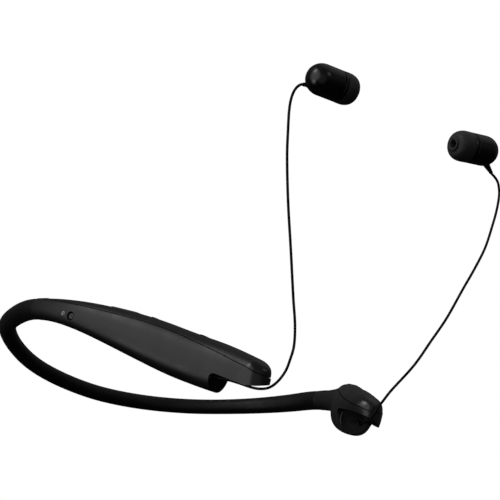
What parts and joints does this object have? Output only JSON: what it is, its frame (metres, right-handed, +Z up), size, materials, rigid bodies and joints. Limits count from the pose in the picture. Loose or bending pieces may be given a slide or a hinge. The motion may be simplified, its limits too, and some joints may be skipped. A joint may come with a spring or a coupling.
{
  "type": "neckband earphones",
  "caption": "U-shaped flexible neckband with two slim hooded arms, each holding a cord reel, controls and a corded in-ear earbud.",
  "frame": {"origin": "where the nape of the neck touches the inner side of the band, at the band's middle", "axes": "+X to the wearer's right, +Y forward along the arms to their tips, +Z up"},
  "size_m": [0.1518, 0.1932, 0.121],
  "materials": {
    "satin_plastic": "fine satin moulding, black",
    "band_silicone": "soft-touch silicone, black",
    "gloss_plastic": "polished piano black",
    "tip_silicone": "matte silicone, dark grey",
    "cable_jacket": "smooth soft jacket, black",
    "reel_plastic": "natural acetal",
    "spring_steel": "drawn spring steel",
    "steel_fittings": "plated steel",
    "board_green": "solder-masked glass laminate",
    "cell_wrap": "foil pouch",
    "lens_clear": "milky light guide"
  },
  "bodies": {
    "band": {"band_sleeve": "band_silicone", "band_spring_core": "spring_steel", "band_lead_wires": "cable_jacket"},
    "right_arm": {"right_housing": "satin_plastic", "right_top_cover": "satin_plastic", "right_core_ferrule": "steel_fittings", "right_cradle_liner": "gloss_plastic", "right_earbud_socket": "gloss_plastic", "right_reel_axle": "steel_fittings", "right_power_spring": "spring_steel", "right_pawl_pin": "steel_fittings", "right_earbud_cord": "cable_jacket", "right_cord_strain_relief": "cable_jacket", "right_earbud_rear_cap": "gloss_plastic", "right_earbud_housing": "gloss_plastic", "right_driver": "steel_fittings", "right_nozzle_mesh": "steel_fittings", "right_status_lens": "lens_clear", "main_board": "board_green", "charging_port": "steel_fittings", "microphone": "steel_fittings"},
    "right_drum": {"right_reel_drum": "reel_plastic"},
    "right_pawl": {"right_reel_pawl": "steel_fittings"},
    "right_retract": {"right_retract_button": "satin_plastic"},
    "right_call": {"right_play_button": "satin_plastic"},
    "right_rocker": {"right_track_rocker": "satin_plastic"},
    "right_tip": {"right_ear_tip": "tip_silicone"},
    "left_arm": {"left_housing": "satin_plastic", "left_top_cover": "satin_plastic", "left_core_ferrule": "steel_fittings", "left_cradle_liner": "gloss_plastic", "left_earbud_socket": "gloss_plastic", "left_reel_axle": "steel_fittings", "left_power_spring": "spring_steel", "left_pawl_pin": "steel_fittings", "left_earbud_cord": "cable_jacket", "left_cord_strain_relief": "cable_jacket", "left_earbud_rear_cap": "gloss_plastic", "left_earbud_housing": "gloss_plastic", "left_driver": "steel_fittings", "left_nozzle_mesh": "steel_fittings", "battery_cell": "cell_wrap", "vibration_motor": "steel_fittings"},
    "left_drum": {"left_reel_drum": "reel_plastic"},
    "left_pawl": {"left_reel_pawl": "steel_fittings"},
    "left_retract": {"left_retract_button": "satin_plastic"},
    "left_call": {"left_call_button": "satin_plastic"},
    "left_rocker": {"left_volume_rocker": "satin_plastic"},
    "left_tip": {"left_ear_tip": "tip_silicone"},
    "right_power": {"right_power_button": "satin_plastic"},
    "right_flap": {"port_flap": "band_silicone"}
  },
  "joints": [
    {"name": "right_arm_flex", "type": "hinge", "parent": "band", "child": "right_arm", "pos_m": [0.07142, 0.0698, 0.01608], "axis": [0, 0, -1], "range_deg": [-4, 12], "stiffness_Nm_per_rad": 0.4, "deforming": ["band_sleeve", "band_spring_core", "band_lead_wires"]},
    {"name": "right_reel_spin", "type": "hinge", "parent": "right_arm", "child": "right_drum", "pos_m": [0.0436, 0.12678, 0.00717], "axis": [0.829, 0.5592, 0], "range_deg": [0, 1440]},
    {"name": "right_retract_press", "type": "slide", "parent": "right_arm", "child": "right_retract", "axis": [0.0927, -0.1568, -0.9833], "range_m": [0, 0.0008], "stiffness_N_per_m": 1200},
    {"name": "right_pawl_turn", "type": "hinge", "parent": "right_arm", "child": "right_pawl", "pos_m": [0.0363, 0.13304, 0.00599], "axis": [-0.8558, -0.5173, 0], "range_deg": [0, 20]},
    {"name": "right_play_press", "type": "slide", "parent": "right_arm", "child": "right_call", "axis": [0.1049, -0.1553, -0.9823], "range_m": [0, 0.0005], "stiffness_N_per_m": 1500},
    {"name": "right_track_rock", "type": "hinge", "parent": "right_arm", "child": "right_rocker", "pos_m": [0.05563, 0.10914, 0.01814], "axis": [0.8417, 0.5399, 0], "range_deg": [-2.5, 2.5], "stiffness_Nm_per_rad": 0.12},
    {"name": "right_tip_pull", "type": "slide", "parent": "right_arm", "child": "right_tip", "axis": [-0.9986, 0, 0.0523], "range_m": [0, 0.006]},
    {"name": "left_arm_flex", "type": "hinge", "parent": "band", "child": "left_arm", "pos_m": [-0.07142, 0.0698, 0.01608], "axis": [0, 0, 1], "range_deg": [-4, 12], "stiffness_Nm_per_rad": 0.4, "deforming": ["band_sleeve", "band_spring_core", "band_lead_wires"]},
    {"name": "left_reel_spin", "type": "hinge", "parent": "left_arm", "child": "left_drum", "pos_m": [-0.0436, 0.12678, 0.00717], "axis": [0.829, -0.5592, 0], "range_deg": [0, 1440]},
    {"name": "left_retract_press", "type": "slide", "parent": "left_arm", "child": "left_retract", "axis": [-0.0927, -0.1568, -0.9833], "range_m": [0, 0.0008], "stiffness_N_per_m": 1200},
    {"name": "left_pawl_turn", "type": "hinge", "parent": "left_arm", "child": "left_pawl", "pos_m": [-0.0363, 0.13304, 0.00599], "axis": [-0.8558, 0.5173, 0], "range_deg": [0, 20]},
    {"name": "left_call_press", "type": "slide", "parent": "left_arm", "child": "left_call", "axis": [-0.1049, -0.1553, -0.9823], "range_m": [0, 0.0005], "stiffness_N_per_m": 1500},
    {"name": "left_volume_rock", "type": "hinge", "parent": "left_arm", "child": "left_rocker", "pos_m": [-0.05563, 0.10914, 0.01814], "axis": [0.8417, -0.5399, 0], "range_deg": [-2.5, 2.5], "stiffness_Nm_per_rad": 0.12},
    {"name": "left_tip_pull", "type": "slide", "parent": "left_arm", "child": "left_tip", "axis": [0.9848, 0, -0.1736], "range_m": [0, 0.006]},
    {"name": "right_power_press", "type": "slide", "parent": "right_arm", "child": "right_power", "axis": [-0.917, -0.3988, 0], "range_m": [0, 0.0004], "stiffness_N_per_m": 1500},
    {"name": "port_flap_open", "type": "hinge", "parent": "right_arm", "child": "right_flap", "pos_m": [0.05315, 0.10279, 0.01196], "axis": [0.0863, -0.1401, -0.9864], "range_deg": [0, 95]}
  ],
  "couplings": [
    {"joint": "right_pawl_turn", "follows": "right_retract_press", "rad_per_m": 420},
    {"joint": "left_pawl_turn", "follows": "left_retract_press", "rad_per_m": 420}
  ]
}
